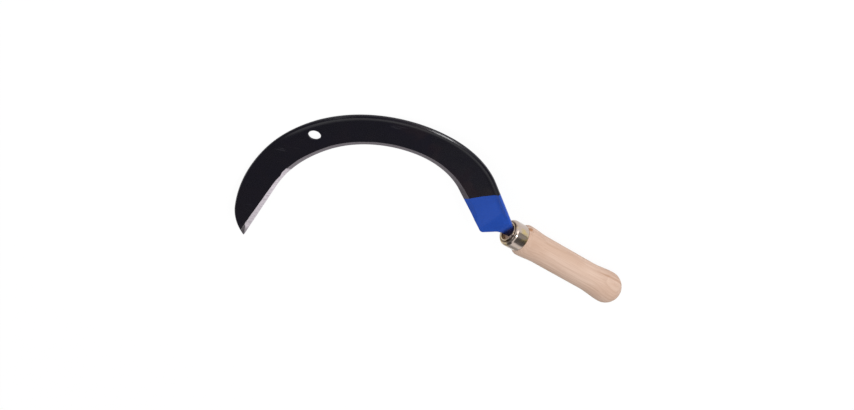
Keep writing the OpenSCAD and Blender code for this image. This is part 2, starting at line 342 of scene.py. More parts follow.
# Unsteady hand in the grinding, as waves in the width: height, length and start of each
GRIND_WAVES = [(0.1, 19, 0), (0.08, 7.3, 1), (0.05, 3.1, 2)]


def grind_share(d):
    """How far the grinding has set in at a distance along the edge, from 0 to 1."""
    return ease((d - BEVEL_START) / BEVEL_FADE)


def bevel_width(d):
    """Width of the ground bevel at a distance along the edge."""
    wave = sum(height * math.sin(d / run + start) for height, run, start in GRIND_WAVES)
    stops, widths = zip(*GRIND_STOPS)
    return (float(np.interp(d, stops, widths)) + wave) * grind_share(d)


def back_t(s):
    """Thickness at the back, at a distance along the spine."""
    return WEB_T + (SPINE_T - WEB_T) * ease((spine.length - RIB_GONE - s) / RIB_FADE)


# Least share of the way from the back's foot to the edge that stays web
LEAST_WEB = 0.3
# Radii of the section's corners: outer foot, back with its hollow, and bevel and edge, which have
# one where they are ground and one more where they are blunt
FOOT_ROUND = 0.35
BACK_ROUNDS = [0.9, 0.9, 0.9, 3, 5, 9, 9]
EDGE_ROUNDS = [(0.25, 0.5), (0.03, 0.5), (0.03, 0.4)]


def section(a, na, b, nb, d, s=0, neck_half=None):
    """Points of one section of the flat blade, from the spine's side to the edge's side.

    Each end is a point, a or b, and the direction across the blade there, and d and s are distances
    along the edge and the spine. A section of the neck or the tang has half its thickness instead.
    """
    width = np.linalg.norm(b - a)
    # A narrow section is a smaller one in every way
    if neck_half is None:
        scale = min(1.0, width / (RIB_W + RIB_SLOPE + BEVEL_W + WEB_SPARE))
        grind = grind_share(d)
        low = 0.0
        rib = EDGE_T + (max(back_t(s), root_z(a)) - EDGE_T) * scale
        web = EDGE_T + (max(WEB_T, root_z(a + RIB_W * na)) - EDGE_T) * scale
        bevel = max(CHAMFER, bevel_width(d)) * scale
        web_b = EDGE_T + (max(WEB_T, root_z(b - bevel * nb)) - EDGE_T) * scale
        edge_z = web_b + (EDGE_T - web_b) * max(grind, CHAMFER / web_b)
        chamfer = (back_t(s) - corner_z(back_t(s))) * scale
    else:
        scale = 1.0
        grind = 0.0
        low = TANG_T / 2 - neck_half
        rib = web = web_b = TANG_T / 2 + neck_half
        bevel = chamfer = CHAMFER
        edge_z = rib - CHAMFER
    foot = (RIB_W + RIB_SLOPE + HOLLOW_RUN) * scale
    shoulder = max(width - bevel, foot + LEAST_WEB * (width - foot))
    top = RIB_W * scale
    corners = [(0, low), (0, rib - chamfer), (chamfer, rib), (top, rib)]
    corners += [(top + (foot - top) * t, web + (rib - web) * (1 - t) ** 2) for t in HOLLOW]
    corners += [(foot, web), (shoulder, web_b), (width, edge_z), (width, low)]
    radii = [FOOT_ROUND] + [r * scale for r in BACK_ROUNDS]
    radii += [ground + blunt * (1 - grind) for ground, blunt in EDGE_ROUNDS]
    points = []
    from_a = a + foot * na
    from_b = b - (width - shoulder) * nb
    for x, z in rounded([np.array(c) for c in corners], radii):
        if x <= foot:
            p = a + x * na
        elif x >= shoulder:
            p = b - (width - x) * nb
        else:
            t = (x - foot) / (shoulder - foot)
            p = (1 - t) * from_a + t * from_b
        points.append((p[0], p[1], z))
    return points


def upper_side(x):
    """Upper outline of the neck and the tang, at a distance along the handle's axis."""
    return max(SPINE_FOOT - (x + NECK_RUN) * math.tan(math.radians(SPINE_LEAD)), tang_side(x))


def tang_side(x):
    """Half the width of the tang."""
    start = -NECK_RUN + (SPINE_FOOT - TANG_W / 2) / math.tan(math.radians(SPINE_LEAD))
    share = min(1.0, max(0.0, (x - start) / (TANG_RUN - start)))
    return (TANG_W + (TANG_END_W - TANG_W) * share) / 2


slope = math.tan(math.radians(HEEL_SLOPE))
heel_line_x = -HEEL_X + (HEEL_Y - TANG_W / 2) / slope
fillet_x = heel_line_x + NECK_FILLET * math.tan(math.radians(HEEL_SLOPE / 2))
fillet_from = fillet_x - NECK_FILLET * math.sin(math.radians(HEEL_SLOPE))


def lower_side(x):
    """Lower outline: the heel's slope, the fillet and the tang."""
    if x < fillet_from:
        return -HEEL_Y + (HEEL_X + x) * slope
    if x < fillet_x:
        return -TANG_W / 2 - NECK_FILLET + math.sqrt(NECK_FILLET ** 2 - (x - fillet_x) ** 2)
    return -tang_side(x)


def half_t(x):
    """Half the thickness of the neck and the tang."""
    return TANG_T / 2 + (TANG_END_T - TANG_T) / 2 * (x + NECK_RUN) / (TANG_RUN + NECK_RUN)


# Numbers of sections
TANG_SECTIONS = 8
NECK_SECTIONS = 26
HEEL_SECTIONS = 10
CORNER_SECTIONS = 14
BLADE_SECTIONS = 460
# The neck's sections lie close together from this far outside the fillet
CLOSE_FROM = 1
neck_end = fillet_x + CLOSE_FROM
# Round corner of the heel
CORNER_TURN = HEEL_SLOPE + EDGE_LEAD
corner_reach = HEEL_ROUND * math.tan(math.radians(CORNER_TURN / 2))
corner_centre = edge.at(corner_reach)[0] - HEEL_ROUND * unit(edge.heading + 90)
# Along the spine, the heel takes up one step and its corner this many
CORNER_SPAN = 4
spine_step = (HEEL_X - NECK_RUN) / CORNER_SPAN
rows_from = (1 + CORNER_SPAN) * spine_step
across = np.array([0.0, -1.0])


def neck_row(x):
    """Section straight across the neck or the tang."""
    top = np.array([x, upper_side(x)])
    low = np.array([x, lower_side(x)])
    return section(top, across, low, across, 0, neck_half=half_t(x))


def heel_row(a_run, b, nb, share):
    """Section from the spine to the heel, turned from straight across by a share of the way."""
    a, h = spine.at(a_run)
    na = (1 - share) * across + share * unit(h + 90)
    return section(a, na / np.linalg.norm(na), b, nb / np.linalg.norm(nb), 0)


def blade_rows():
    """Every section from the end of the tang to the point."""
    rows = [neck_row(x) for x in evenly(TANG_RUN, neck_end, TANG_SECTIONS)[:-1]]
    rows += [neck_row(x) for x in evenly(neck_end, -NECK_RUN, NECK_SECTIONS)]
    slope_normal = unit(HEEL_SLOPE - 90)
    corner_from = corner_centre + HEEL_ROUND * slope_normal
    fillet_end = np.array([fillet_from, lower_side(fillet_from)])
    for t in evenly(0, 1, HEEL_SECTIONS)[1:]:
        x = -NECK_RUN + (fillet_from + NECK_RUN) * t
        turned_by = math.degrees(math.asin((fillet_x - x) / NECK_FILLET))
        low = np.array([x, lower_side(x)])
        rows.append(heel_row(spine_step * t / 2, low, unit(turned_by - 90), t / 2))
    for t in evenly(0, 1, HEEL_SECTIONS)[1:]:
        low = fillet_end + (corner_from - fillet_end) * t
        rows.append(heel_row(spine_step * (1 + t) / 2, low, slope_normal, (1 + t) / 2))
    for t in evenly(0, 1, CORNER_SECTIONS)[1:]:
        out = unit(HEEL_SLOPE - 90 - CORNER_TURN * t)
        low = corner_centre + HEEL_ROUND * out
        rows.append(heel_row(spine_step * (1 + CORNER_SPAN * t), low, out, 1))
    for t in evenly(0, 1, BLADE_SECTIONS)[1:]:
        s = rows_from + (spine.length - rows_from) * t
        a, ha = spine.at(s)
        d = corner_reach + (edge.length - corner_reach) * t
        b, hb = edge.at(d)
        rows.append(section(a, unit(ha + 90), b, unit(hb + 90), d, s))
    return rows


def bridge(made, one, two):
    """Faces between two rings with the same number of points."""
    for j in range(len(one)):
        k = (j + 1) % len(one)
        made.faces.new((one[j], one[k], two[k], two[j]))


def skin(rows):
    """Closed mesh over sections with the same number of points."""
    made = bmesh.new()
    rings = [[made.verts.new(p) for p in row] for row in rows]
    for one, two in zip(rings, rings[1:]):
        bridge(made, one, two)
    made.faces.new(list(reversed(rings[0])))
    made.faces.new(rings[-1])
    bmesh.ops.recalc_face_normals(made, faces=made.faces)
    return made


# Hang hole: rings from the upper face to the underside, each a radius beyond the hole's and a height
HOLE_RINGS = [
    (0.45, WEB_T), (0.2, WEB_T - 0.05), (0.05, WEB_T - 0.2), (0, WEB_T - 0.45),
    (0, 0.35), (0.05, 0.15), (0.18, 0.03), (0.35, 0),
]
HOLE_SEGMENTS = 96
# Flat faces that come nearer to the hole than this are filled in anew around it
HOLE_MARGIN = 0.9


def crosses(face, reach):
    """Whether a face comes within reach of the hole's centre."""
    ring = [np.array(v.co[:2]) - hole_centre for v in face.verts]
    for p, q in zip(ring, ring[1:] + ring[:1]):
        way = q - p
        t = min(1.0, max(0.0, -(p @ way) / max(way @ way, TINY)))
        if np.linalg.norm(p + t * way) < reach:
            return True
    return False


def punch_hole(made):
    """Opens the web around the hang hole and lines the opening with rounded rims."""
    loops = []
    for extra, z in HOLE_RINGS:
        loops.append([
            made.verts.new((*(hole_centre + (HOLE_R + extra) * unit(360 * k / HOLE_SEGMENTS)), z))
            for k in range(HOLE_SEGMENTS)
        ])
    rim = set(v for loop in loops for v in loop)
    for z, loop in ((WEB_T, loops[0]), (0.0, loops[-1])):
        doomed = [
            f for f in made.faces
            if all(abs(v.co.z - z) < SAME_PLACE for v in f.verts) and crosses(f, HOLE_R + HOLE_MARGIN)
        ]
        around = set()
        for f in doomed:
            around.update(f.edges)
        inner = set(e for e in around if all(f in doomed for f in e.link_faces))
        bmesh.ops.delete(made, geom=doomed, context="FACES_ONLY")
        bmesh.ops.delete(made, geom=[e for e in inner if e.is_valid], context="EDGES")
        ring_edges = [made.edges.new(ends) for ends in zip(loop, loop[1:] + loop[:1])]
        border = [e for e in around if e.is_valid and e.is_boundary]
        bmesh.ops.triangle_fill(made, use_beauty=True, edges=border + ring_edges)
    loose = [v for v in made.verts if not v.link_faces and v not in rim]
    bmesh.ops.delete(made, geom=loose, context="VERTS")
    for one, two in zip(loops, loops[1:]):
        bridge(made, one, two)
    bmesh.ops.recalc_face_normals(made, faces=made.faces)


def bent(p):
    """Carries a flat point over the bend in the neck."""
    s = p.x + NECK_RUN
    if s <= -BEND_HALF:
        return p
    rise = p.z - TANG_T / 2
    if s >= BEND_HALF:
        angle = bend
        x = -NECK_RUN + s * math.cos(bend)
        z = TANG_T / 2 - s * math.sin(bend)
    else:
        angle = bend * (s + BEND_HALF) / (2 * BEND_HALF)
        radius = BEND_HALF / math.tan(bend / 2)
        x = -NECK_RUN - BEND_HALF + radius * math.sin(angle)
        z = TANG_T / 2 - radius * (1 - math.cos(angle))
    return Vector((x + rise * math.sin(angle), p.y, z + rise * math.cos(angle)))


# Line to which the heel was dipped in paint: its ends on the edge's and the spine's side, how far
# it sags between them, the share of the sag by which it is set back, and how far along the edge
# paint can lie
DIP_EDGE = np.array([-56.1, 1.4])
DIP_SPINE = np.array([-40.6, 31.4])
DIP_SAG = 0.7
DIP_BACK = 0.35
DIP_REACH = 120
# How many places along the edge a point of the blade is set against, the least height and width
# that count as bevel, and the value of a point off the bevel
EDGE_PLACES = 3000
UNDERSIDE = 0.02
LEAST_BEVEL = 0.2
OFF_BEVEL = -3.0


def dip_depth(p):
    """Distance under the paint line, in millimetres, positive towards the handle."""
    way = DIP_SPINE - DIP_EDGE
    far = np.linalg.norm(way)
    way = way / far
    side = np.array([way[1], -way[0]])
    rel = p - DIP_EDGE
    t = min(1.0, max(0.0, rel @ way / far))
    return rel @ side + DIP_SAG * 4 * t * (1 - t) - DIP_BACK * DIP_SAG


def blade_places(flat):
    """Where each point of the flat blade lies, in millimetres, as attributes for its finish."""
    tree = KDTree(EDGE_PLACES + 1)
    for i in range(EDGE_PLACES + 1):
        tree.insert((*edge.at(edge.length * i / EDGE_PLACES)[0], 0), i)
    tree.balance()
    places = {name: [] for name in ("along", "inset", "ground", "dipped", "rootward")}
    for p in flat:
        _, k, far = tree.find((p.x, p.y, 0))
        d = edge.length * k / EDGE_PLACES
        width = bevel_width(d)
        on_bevel = width > LEAST_BEVEL and p.z > UNDERSIDE
        places["along"].append(d)
        places["inset"].append(far)
        places["ground"].append(width - far if on_bevel else OFF_BEVEL)
        places["dipped"].append(dip_depth(np.array((p.x, p.y))) if d < DIP_REACH else -DIP_REACH)
        places["rootward"].append(p.x)
    return places


def forged_blade():
    """Blade, neck and tang in one piece, with the bend in the neck put in last."""
    made = skin(blade_rows())
    punch_hole(made)
    flat = [v.co.copy() for v in made.verts]
    for v in made.verts:
        v.co = bent(v.co)
    mesh = bpy.data.meshes.new("forged_blade")
    made.to_mesh(mesh)
    made.free()
    for name, values in blade_places(flat).items():
        attribute = mesh.attributes.new(name, "FLOAT", "POINT")
        attribute.data.foreach_set("value", np.array(values, np.float32))
    mesh.transform(on_table)
    mesh.shade_smooth()
    mesh.set_sharp_from_angle(angle=CREASE)
    return link_object("forged_blade", mesh)


# Node trees
class Bench:
    """Adds nodes to a tree. Each input is given as a socket to link or as a plain value."""

    def __init__(self, tree):
        self.tree = tree

    def wire(self, node, inputs):
        """Fills the named or numbered inputs of a node."""
        for name, value in inputs.items():
            if isinstance(value, bpy.types.NodeSocket):
                self.tree.links.new(value, node.inputs[name])
            else:
                node.inputs[name].default_value = value

    def add(self, kind, inputs=None, **settings):
        made = self.tree.nodes.new(kind)
        for name, value in settings.items():
            setattr(made, name, value)
        self.wire(made, inputs or {})
        return made

    def maths(self, operation, *values):
        return self.add("ShaderNodeMath", dict(enumerate(values)), operation=operation).outputs[0]

    def product(self, *values):
        made = values[0]
        for value in values[1:]:
            made = self.maths("MULTIPLY", made, value)
        return made

    def stray(self, noise, size):
        """Shift of up to half a size either way, from a noise of 0 to 1."""
        return self.maths("MULTIPLY", self.maths("SUBTRACT", noise, 0.5), size)

    def ramp(self, value, low, high, out_low=0.0, out_high=1.0):
        """Smooth step of a value between two levels."""
        made = self.add(
            "ShaderNodeMapRange",
            {"Value": value, "From Min": low, "From Max": high, "To Min": out_low, "To Max": out_high},
            interpolation_type="SMOOTHSTEP",
        )
        return made.outputs["Result"]

    # The inputs of a Mix node share their names: 2 and 3 are its numbers, 6 and 7 its colours
    def blend(self, share, one, two):
        """Colour between two colours."""
        return self.add("ShaderNodeMix", {0: share, 6: one, 7: two}, data_type="RGBA").outputs[2]

    def between(self, share, one, two):
        """Number between two numbers."""
        return self.add("ShaderNodeMix", {0: share, 2: one, 3: two}, data_type="FLOAT").outputs[0]

    def noise(self, vector, scale, detail=3.0, roughness=0.5, distortion=0.0, output="Fac"):
        made = self.add("ShaderNodeTexNoise", {
            "Vector": vector, "Scale": scale, "Detail": detail, "Roughness": roughness,
            "Distortion": distortion,
        })
        return made.outputs[output]

    def vector(self, operation, one, two, output="Vector"):
        return self.add("ShaderNodeVectorMath", {0: one, 1: two}, operation=operation).outputs[output]

    def parts(self, vector):
        """X, Y and Z of a vector."""
        return self.add("ShaderNodeSeparateXYZ", {0: vector}).outputs

    def off_axis(self, parts):
        """Distance of a place from the X axis."""
        squares = self.maths("ADD", self.product(parts[1], parts[1]), self.product(parts[2], parts[2]))
        return self.maths("POWER", squares, 0.5)

    def mapped(self, vector, scale=(1, 1, 1), rotation=(0, 0, 0), location=(0, 0, 0), kind="POINT"):
        made = self.add(
            "ShaderNodeMapping",
            {"Vector": vector, "Location": location, "Rotation": rotation, "Scale": scale},
            vector_type=kind,
        )
        return made.outputs["Vector"]

    def object_place(self):
        """Place on the object, in metres."""
        return self.add("ShaderNodeTexCoord").outputs["Object"]

    def handle_place(self):
        """Place in the handle's own frame, with X along its axis, in metres."""
        return self.mapped(
            self.object_place(), location=handle_origin, rotation=handle_euler, kind="TEXTURE"
        )

    def attribute(self, name):
        made = self.add("ShaderNodeAttribute", attribute_name=name, attribute_type="GEOMETRY")
        return made.outputs["Fac"]

    def bump(self, height, strength, distance, normal=None):
        inputs = {"Height": height, "Strength": strength, "Distance": distance}
        if normal is not None:
            inputs["Normal"] = normal
        return self.add("ShaderNodeBump", inputs).outputs["Normal"]

    def group(self, tree, inputs):
        """Outputs of a group set in this tree."""
        return self.add("ShaderNodeGroup", inputs, node_tree=tree).outputs


def new_group(name, inputs, outputs, kind="ShaderNodeTree"):
    """Node group with named sockets, its bench, its input sockets and its output node."""
    group = bpy.data.node_groups.new(name, kind)
    for label, socket_kind, value in inputs:
        socket = group.interface.new_socket(label, in_out="INPUT", socket_type=socket_kind)
        if value is not None:
            socket.default_value = value
    for label, socket_kind in outputs:
        group.interface.new_socket(label, in_out="OUTPUT", socket_type=socket_kind)
    given = group.nodes.new("NodeGroupInput").outputs
    return group, Bench(group), given, group.nodes.new("NodeGroupOutput")


def mottle_group():
    """Uneven tone of a coat or a plating: a broad cloud and a fine speckle."""
    group, bench, given, result = new_group(
        "mottle",
        [("Vector", "NodeSocketVector", None), ("Cloud Scale", "NodeSocketFloat", 30.0),
         ("Speckle Scale", "NodeSocketFloat", 400.0), ("Speckle Share", "NodeSocketFloat", 0.4)],
        [("Mask", "NodeSocketFloat"), ("Height", "NodeSocketFloat")],
    )
    cloud = bench.noise(given["Vector"], given["Cloud Scale"], detail=4.0, roughness=0.55, distortion=0.6)
    speckle = bench.noise(given["Vector"], given["Speckle Scale"], detail=2.0, roughness=0.6)
    mixed = bench.between(given["Speckle Share"], cloud, speckle)
    bench.wire(result, {"Mask": bench.ramp(mixed, 0.34, 0.66), "Height": mixed})
    return group


def scratch_group():
    """Fine scratches: long thin streaks along one direction, broken up by a cloud."""
    group, bench, given, result = new_group(
        "scratches",
        [("Vector", "NodeSocketVector", None), ("Scale", "NodeSocketFloat", 200.0),
         ("Level", "NodeSocketFloat", 0.62), ("Share", "NodeSocketFloat", 0.5)],
        [("Mask", "NodeSocketFloat")],
    )
    streak = bench.noise(given["Vector"], given["Scale"], detail=2.0, roughness=0.7)
    sharp = bench.ramp(streak, given["Level"], bench.maths("ADD", given["Level"], 0.06))
    cloud = bench.noise(given["Vector"], bench.product(given["Scale"], 0.13), detail=1.0)
    bench.wire(result, {"Mask": bench.product(sharp, bench.ramp(cloud, 0.45, 0.6), given["Share"])})
    return group


mottle = mottle_group()
scratches = scratch_group()


def new_material(name, **settings):
    """Material with a plain shader, whose uniform values are set on its own sockets."""
    material = bpy.data.materials.new(name)
    material.use_nodes = True
    shader = material.node_tree.nodes["Principled BSDF"]
    for label, value in settings.items():
        shader.inputs[label.replace("_", " ")].default_value = value
    return material, Bench(material.node_tree), shader


LACQUER_DARK = colour(9, 7, 19)
LACQUER_PALE = colour(17, 14, 27)
LACQUER_BROWN = colour(28, 18, 26)
LACQUER_SCRATCH = colour(52, 50, 56)
STEEL_BRIGHT = colour(238, 228, 236)
STEEL_DULL = colour(160, 152, 159)
STEEL_STREAK = colour(120, 112, 118)
DIP_BLUE = colour(22, 75, 178)
DIP_BLUE_DEEP = colour(15, 69, 168)
# Navy of the painted shade on the paint where the neck goes into the ferrule
PAINTED_SHADE_NAVY = colour(14, 20, 66)
# Distances along the edge, in millimetres, between which the lacquer turns browner
BROWN_STRETCH = (210.0, 60.0)
# Borders of the bare steel, of its second pass and of the paint: how soft and how unsteady they
# are, in millimetres
BARE_SOFT = (-0.12, 0.16)
BARE_STRAY = 0.5
PASS_SOFT = 0.8
PASS_STRAY = 5.0
PAINT_SOFT = 0.12
PAINT_STRAY = 0.8
# The bright steel turns dull between these distances from the point
DULL_STRETCH = (20, 4)
# Painted shade: the blue paint turns navy between these places before the handle, next to the ferrule's
# mouth
MOUTH_SHADE_STRETCH = (-7.0, -1.0)
# Roughness: of the lacquer and of the steel it goes from the first to the second with the pattern
LACQUER_ROUGH = (0.29, 0.2)
STEEL_ROUGH = (0.26, 0.36)
PAINT_ROUGH = 0.38
# Heights of relief, in metres: the lacquer's swell and mottle, the grinding marks and the paint's edge
SWELL_HEIGHT = 0.0006
MOTTLE_HEIGHT = 0.0001
MARK_HEIGHT = 0.00006
PAINT_HEIGHT = 0.00012


def blade_finish():
    """Black lacquer, a bare ground bevel and a heel dipped in blue paint, told apart by masks."""
    material, bench, shader = new_material("blade_finish", Specular_IOR_Level=0.42, IOR=1.5)
    spot = bench.object_place()
    along = bench.attribute("along")
    inset = bench.attribute("inset")
    run = bench.add("ShaderNodeCombineXYZ", {"X": along, "Y": inset, "Z": 0.0}).outputs[0]

    tone = bench.group(mottle, {
        "Vector": spot, "Cloud Scale": 34.0, "Speckle Scale": 520.0, "Speckle Share": 0.45,
    })
    lacquer = bench.blend(tone["Mask"], LACQUER_DARK, LACQUER_PALE)
    warmth = bench.ramp(bench.noise(spot, 26.0, detail=2.0, distortion=0.8), 0.46, 0.66)
    near_heel = bench.ramp(along, *BROWN_STRETCH, 0.15, 0.9)
    lacquer = bench.blend(bench.product(warmth, near_heel), lacquer, LACQUER_BROWN)
    scuffs = bench.group(scratches, {
        "Vector": bench.mapped(spot, scale=(0.5, 4.0, 2.0), rotation=(0, 0, 0.5)),
        "Scale": 60.0, "Level": 0.66, "Share": 0.55,
    })
    lacquer = bench.blend(scuffs["Mask"], lacquer, LACQUER_SCRATCH)

    wander = bench.noise(run, 0.35, detail=2.0)
    ragged = bench.maths("ADD", bench.attribute("ground"), bench.stray(wander, BARE_STRAY))
    bare = bench.ramp(ragged, *BARE_SOFT)
    marks = bench.noise(bench.mapped(run, scale=(2.6, 0.25, 1)), 1.0, detail=2.0, roughness=0.6)
    passed = bench.maths("ADD", along, bench.stray(wander, PASS_STRAY))
    second = bench.ramp(passed, SECOND_PASS - PASS_SOFT, SECOND_PASS + PASS_SOFT)
    spent = bench.ramp(along, *(edge.length - before for before in DULL_STRETCH))
    shine = bench.product(second, bench.maths("SUBTRACT", 1.0, spent))
    steel = bench.blend(shine, STEEL_DULL, STEEL_BRIGHT)
    steel = bench.blend(bench.ramp(marks, 0.4, 0.72, 0.0, 0.5), steel, STEEL_STREAK)

    drip = bench.noise(run, 0.12, detail=2.0)
    line = bench.maths("ADD", bench.attribute("dipped"), bench.stray(drip, PAINT_STRAY))
    paint = bench.ramp(line, -PAINT_SOFT, PAINT_SOFT)
    blue = bench.blend(tone["Mask"], DIP_BLUE_DEEP, DIP_BLUE)
    # Painted shade: the paint darkens to navy next to the ferrule's mouth
    blue = bench.blend(bench.ramp(bench.attribute("rootward"), *MOUTH_SHADE_STRETCH), blue, PAINTED_SHADE_NAVY)

    unpainted_steel = bench.product(bare, bench.maths("SUBTRACT", 1.0, paint))
    rough = bench.between(tone["Mask"], *LACQUER_ROUGH)
    rough = bench.between(bare, rough, bench.ramp(marks, 0.3, 0.7, *STEEL_ROUGH))
    normal = bench.bump(bench.noise(spot, 55.0, detail=2.0), 0.35, SWELL_HEIGHT)
    normal = bench.bump(tone["Height"], 0.25, MOTTLE_HEIGHT, normal)
    normal = bench.bump(bench.product(marks, unpainted_steel), 0.5, MARK_HEIGHT, normal)
    bench.wire(shader, {
        "Base Color": bench.blend(paint, bench.blend(bare, lacquer, steel), blue),
        "Metallic": unpainted_steel,
        "Roughness": bench.between(paint, rough, PAINT_ROUGH),
        "Normal": bench.bump(paint, 0.8, PAINT_HEIGHT, normal),
    })
    return material


ZINC_GREY = colour(193, 177, 167)
ZINC_YELLOW = colour(202, 180, 128)
ZINC_DARK = colour(140, 120, 100)
# Dark brown of the painted shade in the groove behind the lip
ZINC_GROOVE_SHADE = colour(84, 62, 48)
# Painted shade in the groove behind the lip, in metres: radii at which it starts, is full, thins out and
# ends, and depths between which it ends
GROOVE_SHADE_RADII = (0.0094, 0.0098, 0.0104, 0.0122)
GROOVE_SHADE_DEPTHS = (0.004, 0.0025)
ZINC_ROUGH = (0.15, 0.26)
# Heights of relief, in metres
DENT_HEIGHT = 0.0005
DRAWN_HEIGHT = 0.00003


def ferrule_finish():
    """Pressed steel with yellow passivated zinc: patchy yellow, with faint draw lines."""
    material, bench, shader = new_material("ferrule_finish", Metallic=1.0)
    spot = bench.object_place()
    local = bench.handle_place()
    tone = bench.group(mottle, {
        "Vector": spot, "Cloud Scale": 70.0, "Speckle Scale": 900.0, "Speckle Share": 0.15,
    })
    base = bench.blend(bench.ramp(tone["Mask"], 0.3, 0.95), ZINC_GREY, ZINC_YELLOW)
    stain = bench.ramp(bench.noise(spot, 160.0), 0.6, 0.75, 0.0, 0.6)
    base = bench.blend(stain, base, ZINC_DARK)
    parts = bench.parts(local)
    radius = bench.off_axis(parts)
    start, full, thin, end = GROOVE_SHADE_RADII
    ring = bench.product(bench.ramp(radius, start, full), bench.ramp(radius, end, thin))
    # Painted shade darkens the groove behind the lip
    groove_shade = bench.product(ring, bench.ramp(parts[0], *GROOVE_SHADE_DEPTHS), 0.8)
    drawn = bench.noise(bench.mapped(local, scale=(20, 900, 900)), 1.0, detail=2.0)
    normal = bench.bump(bench.noise(spot, 130.0, detail=1.0), 0.5, DENT_HEIGHT)
    bench.wire(shader, {
        "Base Color": bench.blend(groove_shade, base, ZINC_GROOVE_SHADE),
        "Roughness": bench.ramp(tone["Height"], 0.3, 0.7, *ZINC_ROUGH),
        "Normal": bench.bump(drawn, 0.2, DRAWN_HEIGHT, normal),
    })
    return material


BEECH_PALE = colour(218, 190, 172)
BEECH_WARM = colour(208, 177, 157)
BEECH_LINE = colour(184, 148, 124)
BEECH_FLECK = colour(170, 130, 104)
BEECH_STREAK = colour(164, 118, 86)
BEECH_KNOT = colour(168, 112, 66)
# Growth rings: how many to a metre, how far off the pith the handle lies, in metres, how it leans to
# the pith, in radians, and how far, in metres, the grain sways
RINGS_PER_METRE = 420.0
PITH_OFFSET = (0.0, 0.021, 0.012)
PITH_LEAN = (0, 0.035, 0.02)
GRAIN_SWAY = (0.0, 0.006, 0.006)
# Darker streak near the rounded end, in the handle's frame in metres: its height, half its width,
# and between which places along the handle and to the side it comes in
STREAK_Z = 0.0008
STREAK_HALF = 0.0019
STREAK_START = (0.1, 0.12)
STREAK_SIDE = (0.0, 0.005)
# Small knot at the shoulder, given likewise: its middle, and the radii at which it starts and is full
KNOT_PLACE = (0.0175, 0.0136, -0.0036)
KNOT_RADII = (0.0034, 0.0012)
BEECH_ROUGH = (0.5, 0.62)
# Heights of relief, in metres
FIBRE_HEIGHT = 0.00008
FLECK_HEIGHT = 0.00005


def handle_finish():
    """Plain turned beech: growth rings cut lengthwise, long fibres and short darker flecks."""
    material, bench, shader = new_material("handle_finish", Specular_IOR_Level=0.25)
    local = bench.handle_place()
    sway = bench.noise(bench.mapped(local, scale=(6, 60, 60)), 0.6, detail=2.0, output="Color")
    shift = bench.vector("MULTIPLY", bench.vector("SUBTRACT", sway, (0.5, 0.5, 0.5)), GRAIN_SWAY)
    swayed = bench.vector("ADD", local, shift)

    from_pith = bench.off_axis(bench.parts(bench.mapped(swayed, location=PITH_OFFSET, rotation=PITH_LEAN)))
    rings = bench.maths("FRACT", bench.product(from_pith, RINGS_PER_METRE))
    late = bench.product(bench.ramp(rings, 0.45, 0.92), bench.ramp(rings, 1.0, 0.94))
    fibre = bench.noise(bench.mapped(local, scale=(25, 900, 900)), 1.0, roughness=0.6)
    cloud = bench.noise(bench.mapped(local, scale=(14, 60, 60)), 1.0)
    cells = bench.add("ShaderNodeTexVoronoi", {
        "Vector": bench.mapped(local, scale=(260, 1500, 1500)), "Scale": 1.0, "Randomness": 1.0,
    })
    fleck = bench.product(bench.ramp(cells.outputs["Distance"], 0.22, 0.1), bench.ramp(fibre, 0.48, 0.6))
    base = bench.blend(bench.ramp(cloud, 0.35, 0.65), BEECH_PALE, BEECH_WARM)
    base = bench.blend(bench.product(late, 0.26), base, BEECH_LINE)
    base = bench.blend(bench.ramp(fibre, 0.4, 0.75, 0.0, 0.42), base, BEECH_LINE)
    base = bench.blend(bench.product(fleck, 0.45), base, BEECH_FLECK)

    here = bench.parts(swayed)
    off_streak = bench.maths("ABSOLUTE", bench.maths("SUBTRACT", here[2], STREAK_Z))
    streak = bench.product(
        bench.ramp(off_streak, STREAK_HALF, 0.0),
        bench.ramp(here[0], *STREAK_START),
        bench.ramp(here[1], *STREAK_SIDE, 0.0, 0.5),
    )
    base = bench.blend(streak, base, BEECH_STREAK)
    from_knot = bench.vector("DISTANCE", local, KNOT_PLACE, output="Value")
    base = bench.blend(bench.ramp(from_knot, *KNOT_RADII, 0.0, 0.8), base, BEECH_KNOT)
    bench.wire(shader, {
        "Base Color": base,
        "Roughness": bench.ramp(fibre, 0.3, 0.7, *BEECH_ROUGH),
        "Normal": bench.bump(fleck, 0.2, FLECK_HEIGHT, bench.bump(fibre, 0.25, FIBRE_HEIGHT)),
    })
    return material


# Turned and pressed pieces: a profile spun about the handle's axis
SEGMENTS = 160


